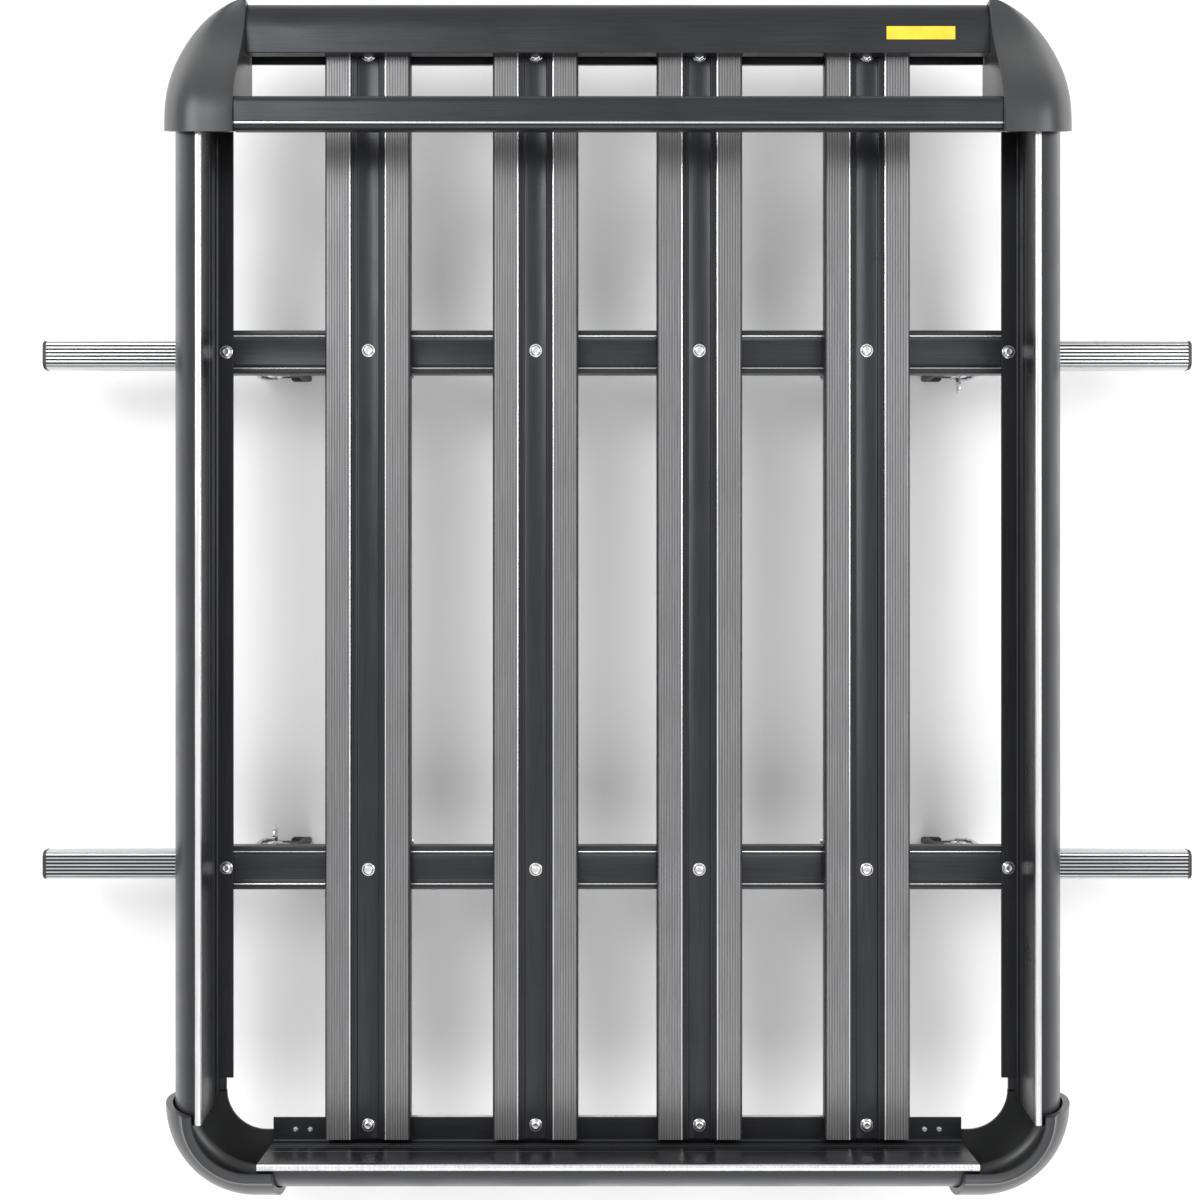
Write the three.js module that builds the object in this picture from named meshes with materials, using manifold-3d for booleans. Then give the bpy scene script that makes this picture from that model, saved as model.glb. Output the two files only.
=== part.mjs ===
// Roof cargo basket on two crossbars, in millimetres, +Z up, +Y to the front.
// The origin is on the ground plane under the middle of the basket.
import * as THREE from 'three';
import { mergeVertices } from 'three/addons/utils/BufferGeometryUtils.js';
import Module from 'manifold-3d';

const wasm = await Module();
wasm.setup();

// Driving dimensions
const HALF_LENGTH = 635;
const HALF_WIDTH = 480;
const DECK_Z = 130;
const GAP = 0.3;

const SLAT_X = [-268, -88, 88, 268];
const SLAT_HALF_WIDTH = 46;
const SLAT_HEIGHT = 16;
const SLAT_REAR_Y = -583;
const SLAT_FRONT_Y = 598;

const CHANNEL_Y = [264, -294];
const CHANNEL_HALF_WIDTH = 23.5;
const CHANNEL_BOTTOM_Z = 96;
const CHANNEL_HALF_LENGTH = 430;
const LEDGE_TOP_Z = DECK_Z - SLAT_HEIGHT - GAP;
const LEDGE_THICKNESS = 3;
const CHANNEL_FLOOR_Z = LEDGE_TOP_Z - LEDGE_THICKNESS - GAP;

const CROSSBAR_HALF_LENGTH = 624;
const CROSSBAR_TOP_Z = CHANNEL_BOTTOM_Z - GAP;
const CROSSBAR_HEIGHT = 24;
const CROSSBAR_HALF_WIDTH = 16;
const CROSSBAR_BOTTOM_Z = CROSSBAR_TOP_Z - CROSSBAR_HEIGHT;

const RAIL_HEIGHT = 74;
const SIDE_RAIL_OUTER_X = 470;
const REAR_RAIL_OUTER_Y = 626;
const SIDE_LEDGE_INNER_X = 415.5;
const REAR_LEDGE_INNER_Y = 564;
const SIDE_RAIL_FRONT_Y = 508;
const SIDE_RAIL_REAR_Y = -545;
const SIDE_LEDGE_REAR_Y = -521;
const REAR_RAIL_HALF_LENGTH = 372;

const ELBOW_CENTRE_X = 380;
const ELBOW_CENTRE_Y = -(HALF_LENGTH - (HALF_WIDTH - ELBOW_CENTRE_X));
const ELBOW_COLLAR = 24;
const ELBOW_WALL = 7;
const ELBOW_FLOOR_RADIUS = 43;
const ELBOW_FLOOR_Z = [DECK_Z - 23, DECK_Z - 19.6];

const NOSE_HALF_LENGTH = 395.7;
const NOSE_LEDGE_Y = 575;
const NOSE_COVER_Y = 578;
const SHELL_INNER_X = 396;
const SHELL_REAR_Y = 505;
const SHELL_RAKE = 29;
const SHELL_TOP_Z = DECK_Z + 80;
const SHELL_STATIONS = 8;
const SHELL_WALL = 5;

const BOLT_ROW_Y = { front: 581, front_channel: 264, rear_channel: -294, rear: -569 };
const LEDGE_BOLT_X = 423;
const BOLT_RADIUS = 3;
const BOLT_HOLE_RADIUS = 3.5;
const BOLT_HEAD_RADIUS = 7;
const SLAT_FLOOR_Z = DECK_Z - 6;

const FOOT_X = 380;
const FOOT_HALF_DEPTH = 18;
const JAW_BOLT_Z = 49;
const LOCK_Z = 61;
const U_BOLT_X = 240;

const black = () => new THREE.MeshStandardMaterial({ color: 0x2b2c2e, roughness: 0.42, metalness: 0.5 });
const silver = () => new THREE.MeshStandardMaterial({ color: 0xb9bbbe, roughness: 0.25, metalness: 1 });
const steel = () => new THREE.MeshStandardMaterial({ color: 0x9a9ca0, roughness: 0.35, metalness: 1 });
const plastic = () => new THREE.MeshStandardMaterial({ color: 0x17181a, roughness: 0.6, metalness: 0 });
const rubber = () => new THREE.MeshStandardMaterial({ color: 0x101011, roughness: 0.85, metalness: 0 });
const yellow = () => new THREE.MeshStandardMaterial({ color: 0xe8c21c, roughness: 0.5, metalness: 0 });

const basket = new THREE.Group();

function add(name, geometry, material, x = 0, y = 0, z = 0) {
  const mesh = new THREE.Mesh(geometry, material);
  mesh.name = name;
  mesh.position.set(x, y, z);
  basket.add(mesh);
}

// Solids for cutting and joining
function toSolid(geometry) {
  const plain = geometry.clone();
  plain.deleteAttribute('normal');
  plain.deleteAttribute('uv');
  const snapped = plain.attributes.position.array.map((value) => Math.round(value * 1000) / 1000);
  plain.setAttribute('position', new THREE.BufferAttribute(snapped, 3));
  const merged = mergeVertices(plain, 4e-4);
  const vertProperties = new Float32Array(merged.attributes.position.array);
  const triVerts = new Uint32Array(merged.index.array);
  return new wasm.Manifold(new wasm.Mesh({ numProp: 3, vertProperties, triVerts }));
}

function toGeometry(solid) {
  const mesh = solid.getMesh();
  const geometry = new THREE.BufferGeometry();
  geometry.setAttribute('position', new THREE.BufferAttribute(new Float32Array(mesh.vertProperties), 3));
  geometry.setIndex(new THREE.BufferAttribute(new Uint32Array(mesh.triVerts), 1));
  return geometry;
}

function cut(geometry, cutters) {
  return toGeometry(cutters.reduce((solid, cutter) => solid.subtract(toSolid(cutter)), toSolid(geometry)));
}

function join(geometries) {
  return toGeometry(geometries.map(toSolid).reduce((sum, solid) => sum.add(solid)));
}

// A closed section extruded along one axis. Section points are (y, z) along X and (x, z) along Y.
function outline(points) {
  const vectors = points.map(([a, b]) => new THREE.Vector2(a, b));
  return THREE.ShapeUtils.isClockWise(vectors) ? vectors.reverse() : vectors;
}

function extrudeX(points, x0, x1, hole) {
  const shape = new THREE.Shape(outline(points));
  if (hole) shape.holes.push(new THREE.Path(outline(hole)));
  const geometry = new THREE.ExtrudeGeometry(shape, { depth: x1 - x0, bevelEnabled: false });
  geometry.applyMatrix4(new THREE.Matrix4().set(0, 0, 1, x0, 1, 0, 0, 0, 0, 1, 0, 0, 0, 0, 0, 1));
  return geometry;
}

function extrudeY(points, y0, y1, hole) {
  const shape = new THREE.Shape(outline(points));
  if (hole) shape.holes.push(new THREE.Path(outline(hole)));
  const geometry = new THREE.ExtrudeGeometry(shape, { depth: y1 - y0, bevelEnabled: false });
  geometry.applyMatrix4(new THREE.Matrix4().set(1, 0, 0, 0, 0, 0, -1, y1, 0, 1, 0, 0, 0, 0, 0, 1));
  return geometry;
}

function box(x0, x1, y0, y1, z0, z1) {
  const geometry = new THREE.BoxGeometry(x1 - x0, y1 - y0, z1 - z0);
  return geometry.translate((x0 + x1) / 2, (y0 + y1) / 2, (z0 + z1) / 2);
}

function cylinderZ(radius, x, y, z0, z1, sides = 8) {
  const geometry = new THREE.CylinderGeometry(radius, radius, z1 - z0, sides);
  return geometry.rotateX(Math.PI / 2).translate(x, y, (z0 + z1) / 2);
}

function cylinderX(radius, x0, x1, y, z, sides = 12) {
  const geometry = new THREE.CylinderGeometry(radius, radius, x1 - x0, sides);
  return geometry.rotateZ(Math.PI / 2).translate((x0 + x1) / 2, y, z);
}

function cylinderY(radius, y0, y1, x, z, sides = 12) {
  return new THREE.CylinderGeometry(radius, radius, y1 - y0, sides).translate(x, (y0 + y1) / 2, z);
}

// A closed skin through rings of points. Each ring holds the same number of Vector3.
function loft(rings) {
  const count = rings[0].length;
  const positions = rings.flat().flatMap((p) => [p.x, p.y, p.z]);
  const index = [];
  for (let i = 0; i < rings.length - 1; i += 1) {
    for (let j = 0; j < count; j += 1) {
      const k = (j + 1) % count;
      index.push(i * count + j, i * count + k, (i + 1) * count + k);
      index.push(i * count + j, (i + 1) * count + k, (i + 1) * count + j);
    }
  }
  capRing(rings[0], 0, true, index);
  capRing(rings[rings.length - 1], (rings.length - 1) * count, false, index);
  const geometry = new THREE.BufferGeometry();
  geometry.setAttribute('position', new THREE.Float32BufferAttribute(positions, 3));
  geometry.setIndex(index);
  return signedVolume(geometry) < 0 ? flipped(geometry) : geometry;
}

function capRing(ring, offset, reversed, index) {
  const normal = new THREE.Vector3();
  ring.forEach((p, i) => normal.add(new THREE.Vector3().crossVectors(p, ring[(i + 1) % ring.length])));
  normal.normalize();
  const across = new THREE.Vector3().subVectors(ring[1], ring[0]).normalize();
  const up = new THREE.Vector3().crossVectors(normal, across);
  const flat = ring.map((p) => new THREE.Vector2(p.dot(across), p.dot(up)));
  for (const [a, b, c] of THREE.ShapeUtils.triangulateShape(flat, [])) {
    index.push(offset + a, offset + (reversed ? c : b), offset + (reversed ? b : c));
  }
}

function signedVolume(geometry) {
  const p = geometry.attributes.position;
  const corner = [new THREE.Vector3(), new THREE.Vector3(), new THREE.Vector3()];
  let volume = 0;
  for (let i = 0; i < geometry.index.count; i += 3) {
    corner.forEach((v, n) => v.fromBufferAttribute(p, geometry.index.getX(i + n)));
    volume += corner[0].dot(new THREE.Vector3().crossVectors(corner[1], corner[2])) / 6;
  }
  return volume;
}

function flipped(geometry) {
  const index = Array.from(geometry.index.array);
  for (let i = 0; i < index.length; i += 3) [index[i], index[i + 1]] = [index[i + 1], index[i]];
  geometry.setIndex(index);
  return geometry;
}

// Points on an ellipse, angles in degrees, both ends included
function arc(cx, cy, rx, ry, from, to, steps) {
  const points = [];
  for (let i = 0; i <= steps; i += 1) {
    const angle = THREE.MathUtils.degToRad(from + ((to - from) * i) / steps);
    points.push([cx + rx * Math.cos(angle), cy + ry * Math.sin(angle)]);
  }
  return points;
}

// Outer skin of the tall rail: [inset from its outermost line, height over the deck]
const RAIL_SKIN = [[10, -19.3], [3, -12], [0, 2], [1, 18], [5, 34], [13, 52], [23, 65], [34, RAIL_HEIGHT]];
const RAIL_WALL_INSET = 36;

function railSection(outer, ledgeInner) {
  const skin = RAIL_SKIN.map(([inset, z]) => [outer - inset, DECK_Z + z]);
  return [
    ...skin,
    [outer - 39, DECK_Z + RAIL_HEIGHT],
    [outer - 41, DECK_Z + RAIL_HEIGHT - 3],
    [outer - RAIL_WALL_INSET, LEDGE_TOP_Z],
    [ledgeInner, LEDGE_TOP_Z],
    [ledgeInner, LEDGE_TOP_Z - LEDGE_THICKNESS],
  ];
}

function railHollow(outer) {
  const skin = RAIL_SKIN.slice(0, 7).map(([inset, z]) => [outer - inset - 3,
      DECK_Z + z + (inset === 10 ? 3 : 0)]);
  return [...skin, [outer - 37, DECK_Z + 66], [outer - 33, DECK_Z - 15]];
}

function holesAt(places, z0, z1) {
  return places.map(([x, y]) => cylinderZ(BOLT_HOLE_RADIUS, x, y, z0, z1));
}

function mirrorX(points) {
  return points.map(([x, z]) => [-x, z]).reverse();
}

function sideRail(side) {
  const section = railSection(SIDE_RAIL_OUTER_X, SIDE_LEDGE_INNER_X);
  const hollow = railHollow(SIDE_RAIL_OUTER_X);
  const outer = side > 0 ? section : mirrorX(section);
  const inner = side > 0 ? hollow : mirrorX(hollow);
  const rail = extrudeY(outer, SIDE_RAIL_REAR_Y, SIDE_RAIL_FRONT_Y, inner);
  const cutters = holesAt(CHANNEL_Y.map((y) => [side * LEDGE_BOLT_X, y]), LEDGE_TOP_Z - 5, LEDGE_TOP_Z + 2);
  const ledgeX = [side * (SIDE_LEDGE_INNER_X - 1), side * (SIDE_RAIL_OUTER_X - RAIL_WALL_INSET)];
  ledgeX.sort((a, b) => a - b);
  cutters.push(box(...ledgeX, SIDE_RAIL_REAR_Y - 1, SIDE_LEDGE_REAR_Y, LEDGE_TOP_Z - 4, LEDGE_TOP_Z + 0.1));
  return cut(rail, cutters);
}

function rearRail() {
  const section = railSection(REAR_RAIL_OUTER_Y, REAR_LEDGE_INNER_Y).map(([y, z]) => [-y, z]);
  const hollow = railHollow(REAR_RAIL_OUTER_Y).map(([y, z]) => [-y, z]);
  const rail = extrudeX(section, -REAR_RAIL_HALF_LENGTH, REAR_RAIL_HALF_LENGTH, hollow);
  const places = SLAT_X.map((x) => [x, BOLT_ROW_Y.rear]);
  return cut(rail, holesAt(places, LEDGE_TOP_Z - 5, LEDGE_TOP_Z + 2));
}

// Deck slat: two raised pads, a stepped sunken middle and a hollow below it
function slat(x) {
  const half = [[0, SLAT_FLOOR_Z], [11.5, SLAT_FLOOR_Z], [13, DECK_Z - 2.5], [17.5, DECK_Z - 2.5]];
  half.push([19, DECK_Z], [43, DECK_Z], [SLAT_HALF_WIDTH, DECK_Z - 3], [SLAT_HALF_WIDTH,
      DECK_Z - SLAT_HEIGHT]);
  const left = half.slice(1).map(([px, z]) => [-px, z]).reverse();
  const section = [...left, ...half].map(([px, z]) => [px + x, z]);
  const hollowX = SLAT_HALF_WIDTH - 2;
  const hollow = [[-hollowX, DECK_Z - 14], [hollowX, DECK_Z - 14], [hollowX, DECK_Z - 8], [-hollowX,
      DECK_Z - 8]];
  const bar = extrudeY(section, SLAT_REAR_Y, SLAT_FRONT_Y, hollow.map(([px, z]) => [px + x, z]));
  const places = Object.values(BOLT_ROW_Y).map((y) => [x, y]);
  return cut(bar, holesAt(places, DECK_Z - 18, DECK_Z + 1));
}

// Cross channel: a shallow hollow box with raised lips, notched where the side ledges sit on it
function channel(y) {
  const half = [[0, CHANNEL_FLOOR_Z], [13, CHANNEL_FLOOR_Z], [17.5, LEDGE_TOP_Z], [CHANNEL_HALF_WIDTH,
      LEDGE_TOP_Z]];
  half.push([CHANNEL_HALF_WIDTH, CHANNEL_BOTTOM_Z]);
  const left = half.slice(1).map(([py, z]) => [-py, z]).reverse();
  const section = [...left, ...half].map(([py, z]) => [py + y, z]);
  const hollow = [[-21.5, 98], [21.5, 98], [21.5, 108.4], [-21.5, 108.4]].map(([py, z]) => [py + y, z]);
  const bar = extrudeX(section, -CHANNEL_HALF_LENGTH, CHANNEL_HALF_LENGTH, hollow);
  const cutters = holesAt([...SLAT_X, -LEDGE_BOLT_X, LEDGE_BOLT_X].map((x) => [x, y]), 106, 112);
  for (const side of [-1, 1]) {
    const x0 = side > 0 ? SIDE_LEDGE_INNER_X - GAP : -CHANNEL_HALF_LENGTH - 1;
    const x1 = side > 0 ? CHANNEL_HALF_LENGTH + 1 : -SIDE_LEDGE_INNER_X + GAP;
    cutters.push(box(x0, x1, y - 30, y + 30, CHANNEL_FLOOR_Z, LEDGE_TOP_Z + 1));
    for (const leg of [-1, 1]) cutters.push(cylinderZ(2.9, side * U_BOLT_X, y + leg * 18.8, 95, 99));
  }
  return cut(bar, cutters);
}

// Crossbar: flat top, rounded sides, through hollow and a slot along the underside
function crossbar(y) {
  const top = CROSSBAR_TOP_Z;
  const bottom = CROSSBAR_BOTTOM_Z;
  const right = arc(10, top - 8, 6, 8, 90, 0, 3).concat(arc(8, bottom + 9, 8, 9, 0, -90, 3));
  const slot = [[4.2, bottom], [4.2, bottom + 2.7], [8, bottom + 2.7], [8, bottom + 8.3]];
  const rightSide = [...right, ...slot];
  const leftSide = rightSide.map(([py, z]) => [-py, z]).reverse();
  const section = [...rightSide, ...leftSide].map(([py, z]) => [py + y, z]);
  const hollow = [[-12, top - 12], [12, top - 12], [12, top - 3], [-12, top - 3]].map(([py,
      z]) => [py + y, z]);
  return extrudeX(section, -CROSSBAR_HALF_LENGTH, CROSSBAR_HALF_LENGTH, hollow);
}

function crossbarCap(side, y) {
  const top = CROSSBAR_TOP_Z;
  const bottom = CROSSBAR_BOTTOM_Z;
  const right = arc(10, top - 8, 6, 8, 90, 0, 3).concat(arc(8, bottom + 9, 8, 9, 0, -90, 3));
  const left = right.map(([py, z]) => [-py, z]).reverse();
  const x0 = CROSSBAR_HALF_LENGTH + GAP;
  const plate = extrudeX([...right, ...left], side > 0 ? x0 : -x0 - 4, side > 0 ? x0 + 4 : -x0);
  const plugX = [x0 - 12, x0 + 1].map((x) => side * x).sort((a, b) => a - b);
  const plug = box(plugX[0], plugX[1], -11.6, 11.6, top - 11.6, top - 3.4);
  return join([plate, plug]).translate(0, y, 0);
}

// Front fairing: a ledge under the slat ends, a rounded nose and a cover over the bolts
function fairing() {
  const z = DECK_Z;
  const section = [[NOSE_LEDGE_Y, LEDGE_TOP_Z - LEDGE_THICKNESS]];
  section.push(...arc(621, z - 5, 14, 14, -90, 0, 3), ...arc(600, z - 5, 35, 19, 15, 90, 5));
  section.push([NOSE_COVER_Y, z + 14], [NOSE_COVER_Y, z + 0.6], [NOSE_COVER_Y + 3, z + 0.6]);
  section.push([NOSE_COVER_Y + 3, z + 11], ...arc(600, z - 5, 31, 16, 90, 0, 4));
  section.push([626, LEDGE_TOP_Z], [NOSE_LEDGE_Y, LEDGE_TOP_Z]);
  const nose = extrudeX(section, -NOSE_HALF_LENGTH, NOSE_HALF_LENGTH);
  const places = SLAT_X.map((x) => [x, BOLT_ROW_Y.front]);
  return cut(nose, holesAt(places, LEDGE_TOP_Z - 5, LEDGE_TOP_Z + 2));
}

function upperFrontBar() {
  const z = DECK_Z + 57;
  const right = arc(511, z + 5, 5, 5, -90, 0, 2).concat(arc(508, z + 9, 8, 8, 0, 90, 3));
  const left = arc(487, z + 10, 7, 7, 90, 180, 3).concat(arc(484, z + 4, 4, 4, 180, 270, 2));
  return extrudeX([...right, ...left], -NOSE_HALF_LENGTH, NOSE_HALF_LENGTH);
}

// Front corner shell: a raked cup, open to the rear, that takes the front end of a side rail
function shellRing(along, inset, rearSlope) {
  const swell = Math.sqrt(Math.max(0, 1 - along ** 2.4));
  const outerX = SHELL_INNER_X + 8 + (HALF_WIDTH - SHELL_INNER_X - 8) * swell - inset;
  const innerX = SHELL_INNER_X + inset * 0.6;
  const fall = 0.5 - 0.5 * Math.cos(Math.PI * Math.max(0, (along - 0.12) / 0.88));
  const topZ = SHELL_TOP_Z - 66 * fall - inset * 0.8;
  const bottomZ = DECK_Z - 23 + inset * 0.6;
  const height = topZ - bottomZ;
  const width = outerX - innerX;
  const section = [[0, 0], [0.86, 0], [0.96, 0.1], [1, 0.27], [0.985, 0.46], [0.93, 0.66], [0.8, 0.83]];
  section.push([0.67, 0.95], [0.5, 1], [0.06, 1], [0, 0.97]);
  return section.map(([u, v]) => {
    const y = SHELL_REAR_Y + (HALF_LENGTH - SHELL_REAR_Y - inset) * along - rearSlope * v;
    return new THREE.Vector3(innerX + u * width, y, bottomZ + v * height);
  });
}

function frontShell(side) {
  const outer = [];
  const inner = [];
  for (let i = 0; i <= SHELL_STATIONS; i += 1) {
    const along = Math.sin((Math.PI / 2) * (i / SHELL_STATIONS));
    const slope = SHELL_RAKE * (1 - along);
    outer.push(shellRing(along, 0, slope));
    if (i < SHELL_STATIONS) inner.push(shellRing(along, SHELL_WALL, slope));
  }
  const shell = hollowedFromRear(outer, inner);
  if (side < 0) {
    shell.applyMatrix4(new THREE.Matrix4().makeScale(-1, 1, 1));
    flipped(shell);
  }
  return shell;
}

// The cavity's rear ring is drawn back a little, so that it opens the shell's rear face.
function hollowedFromRear(outer, inner) {
  inner[0].forEach((p) => p.setY(p.y - 3));
  return toGeometry(toSolid(loft(outer)).subtract(toSolid(loft(inner))));
}

// Rear corner elbow: the rail's outer skin swept a quarter turn, with a floor flange and no inner wall
function elbowRing(angle, shift) {
  const radius = HALF_WIDTH - ELBOW_CENTRE_X;
  const skin = RAIL_SKIN.slice(1).map(([inset, z]) => [radius - inset, z]);
  const top = [[radius - 32, 79], [radius - 38, 80], [radius - 42, 78]];
  const inner = [...skin].reverse().map(([r, z]) => [r - ELBOW_WALL, z - 1]);
  const floor = [[radius - 16, -19.6], [ELBOW_FLOOR_RADIUS, -19.6], [ELBOW_FLOOR_RADIUS, -23],
      [radius - 12, -23]];
  const section = [...skin.slice(0, -1), ...top, ...inner, ...floor];
  const cos = Math.cos(angle);
  const sin = Math.sin(angle);
  return section.map(([r, z]) => new THREE.Vector3(
    ELBOW_CENTRE_X + r * cos + shift[0],
    ELBOW_CENTRE_Y - r * sin + shift[1],
    DECK_Z + z,
  ));
}

function rearElbow(side) {
  const rings = [];
  const steps = 7;
  for (let i = 0; i <= steps; i += 1) rings.push(elbowRing((Math.PI / 2) * (i / steps), [0, 0]));
  rings.push(elbowRing(Math.PI / 2, [-ELBOW_COLLAR, 0]));
  const tongue = box(ELBOW_CENTRE_X + ELBOW_FLOOR_RADIUS, HALF_WIDTH - 14, ELBOW_CENTRE_Y - 2,
      SIDE_LEDGE_REAR_Y, ...ELBOW_FLOOR_Z);
  const elbow = join([loft(rings), tongue]);
  if (side < 0) {
    elbow.applyMatrix4(new THREE.Matrix4().makeScale(-1, 1, 1));
    flipped(elbow);
  }
  return elbow;
}

// A row of button-head bolts threaded into one backing strip under the deck
function boltRow(y, slatX, ledgeX, stripZ, halfLength) {
  const pieces = [box(-halfLength, halfLength, y - 6, y + 6, stripZ, stripZ + 3)];
  for (const x of [...slatX, ...ledgeX]) {
    const seat = (ledgeX.includes(x) ? LEDGE_TOP_Z : SLAT_FLOOR_Z) + GAP;
    pieces.push(cylinderZ(BOLT_RADIUS, x, y, stripZ + 1, seat + 1));
    const profile = [[0, 0], [BOLT_HEAD_RADIUS, 0], [BOLT_HEAD_RADIUS, 1.4], [5, 3.8], [0, 4.2]];
    const head = new THREE.LatheGeometry(profile.map(([r, z]) => new THREE.Vector2(r, z)), 10);
    pieces.push(head.rotateX(Math.PI / 2).translate(x, y, seat));
  }
  return join(pieces);
}

// Mounting foot. Across the vehicle, "out" is away from the middle.
function foot(side, face) {
  const body = [[-20, 71.4], [20, 71.4], [20, 39.3], [-20, 39.3], [-20, 8], [-8, 8], [-8, 0], [-30, 0],
      [-30, 52]];
  const block = extrudeY(outward(body, side), -FOOT_HALF_DEPTH, FOOT_HALF_DEPTH);
  const neck = box(-14, 14, -3.8, 3.8, 71, 75.5);
  const head = box(-14, 14, -7.4, 7.4, 75, 79.2);
  const boltX = [0, side * 21].sort((a, b) => a - b);
  const boltBore = cylinderX(4.4, boltX[0], boltX[1], 0, JAW_BOLT_Z);
  const lockY = [face * 5.5, face * 19].sort((a, b) => a - b);
  const lockBore = cylinderY(6.3, lockY[0], lockY[1], 0, LOCK_Z);
  return toGeometry(toSolid(join([block, neck, head])).subtract(toSolid(boltBore)).subtract(toSolid(lockBore)));
}

function footPad() {
  return box(-19.7, 19.7, -FOOT_HALF_DEPTH, FOOT_HALF_DEPTH, 34, 39);
}

function outward(points, side) {
  return side > 0 ? points : mirrorX(points);
}

function clampJaw(side) {
  const profile = [[20.3, 60], [26.3, 60], [26.3, 2], [8, 2], [8, 8], [20.3, 8]];
  const jaw = extrudeY(outward(profile, side), -16, 16);
  const holeX = [side * 19, side * 28].sort((a, b) => a - b);
  return cut(jaw, [cylinderX(4.4, holeX[0], holeX[1], 0, JAW_BOLT_Z)]);
}

function clampBolt(side) {
  const ends = (a, b) => [side * a, side * b].sort((p, q) => p - q);
  const shank = cylinderX(4, ...ends(2, 28), 0, JAW_BOLT_Z, 10);
  const head = cylinderX(6.5, ...ends(26.6, 34.6), 0, JAW_BOLT_Z, 12);
  const socket = cylinderX(3, ...ends(30, 35), 0, JAW_BOLT_Z, 6);
  return cut(join([shank, head]), [socket]);
}

function lockBarrel(face) {
  const ends = (a, b) => [face * a, face * b].sort((p, q) => p - q);
  const barrel = cylinderY(6, ...ends(6.2, 19.5), 0, LOCK_Z);
  const flange = cylinderY(8.5, ...ends(18.3, 20.6), 0, LOCK_Z);
  const keyway = box(-1.3, 1.3, ...ends(8, 21), LOCK_Z - 4.4, LOCK_Z + 4.4);
  return cut(join([barrel, flange]), [keyway]);
}

function key(face) {
  const ends = (a, b) => [face * a, face * b].sort((p, q) => p - q);
  const blade = box(-1, 1, ...ends(8.5, 22), LOCK_Z - 4, LOCK_Z + 4);
  const bow = cylinderX(9.5, -1, 1, face * 29, LOCK_Z, 14);
  const eye = cylinderX(2.2, -2, 2, face * 33, LOCK_Z, 8);
  return cut(join([blade, bow]), [eye]);
}

// Inverted U-bolt over the inside of the channel, its legs down past the crossbar to two nuts
function uBolt(x, y) {
  const leg = 18.8;
  const bend = 4;
  const top = 101;
  const path = [[-leg, 58], ...arc(-leg + bend, top - bend, bend, bend, 180, 90, 2)];
  path.push(...path.map(([py, z]) => [-py, z]).reverse());
  const rings = path.map(([py, z], i) => {
    const before = path[Math.max(0, i - 1)];
    const after = path[Math.min(path.length - 1, i + 1)];
    const along = new THREE.Vector3(0, after[0] - before[0], after[1] - before[1]).normalize();
    const across = new THREE.Vector3(1, 0, 0);
    const out = new THREE.Vector3().crossVectors(along, across);
    return arc(0, 0, 2.5, 2.5, 0, 315, 7).map(([a, b]) => (
      new THREE.Vector3(x, y + py, z).addScaledVector(across, a).addScaledVector(out, b)));
  });
  const nuts = [-leg, leg].map((py) => cylinderZ(4.6, x, y + py, 62.6, 66.8, 6));
  return join([loft(rings), ...nuts]);
}

function clampPlate(x, y) {
  const plate = box(x - 15, x + 15, y - 26, y + 26, 67.2, 71.2);
  return cut(plate, [-18.8, 18.8].map((py) => cylinderZ(2.9, x, y + py, 66, 73)));
}

// Blank label on the fairing's cover
function label() {
  const top = (y) => DECK_Z - 5 + 19 * Math.sqrt(1 - (Math.max(0, y - 600) / 35) ** 2);
  const y0 = 592;
  const y1 = 606;
  const lift = [0.9, 1.4];
  const section = [[y0, top(y0) + lift[0]], [y1, top(y1) + lift[0]], [y1, top(y1) + lift[1]], [y0,
      top(y0) + lift[1]]];
  return extrudeX(section, 286, 359);
}

function buildDeck() {
  SLAT_X.forEach((x, i) => add(`floor_slat_${i + 1}`, slat(x), black()));
  add('front_channel', channel(CHANNEL_Y[0]), black());
  add('rear_channel', channel(CHANNEL_Y[1]), black());
  const ledgeX = [-LEDGE_BOLT_X, LEDGE_BOLT_X];
  add('front_bolt_row', boltRow(BOLT_ROW_Y.front, SLAT_X, [], 107, 300), silver());
  add('front_channel_bolt_row', boltRow(BOLT_ROW_Y.front_channel, SLAT_X, ledgeX, 104.6, 430), silver());
  add('rear_channel_bolt_row', boltRow(BOLT_ROW_Y.rear_channel, SLAT_X, ledgeX, 104.6, 430), silver());
  add('rear_bolt_row', boltRow(BOLT_ROW_Y.rear, SLAT_X, [], 107, 300), silver());
}

function buildSurround() {
  add('rear_rail', rearRail(), black());
  add('front_fairing', fairing(), black());
  add('upper_front_bar', upperFrontBar(), black());
  add('label', label(), yellow());
  for (const [word, side] of [['left', -1], ['right', 1]]) {
    add(`${word}_side_rail`, sideRail(side), black());
    add(`front_${word}_corner_shell`, frontShell(side), black());
    add(`rear_${word}_corner_elbow`, rearElbow(side), black());
  }
}

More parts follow.
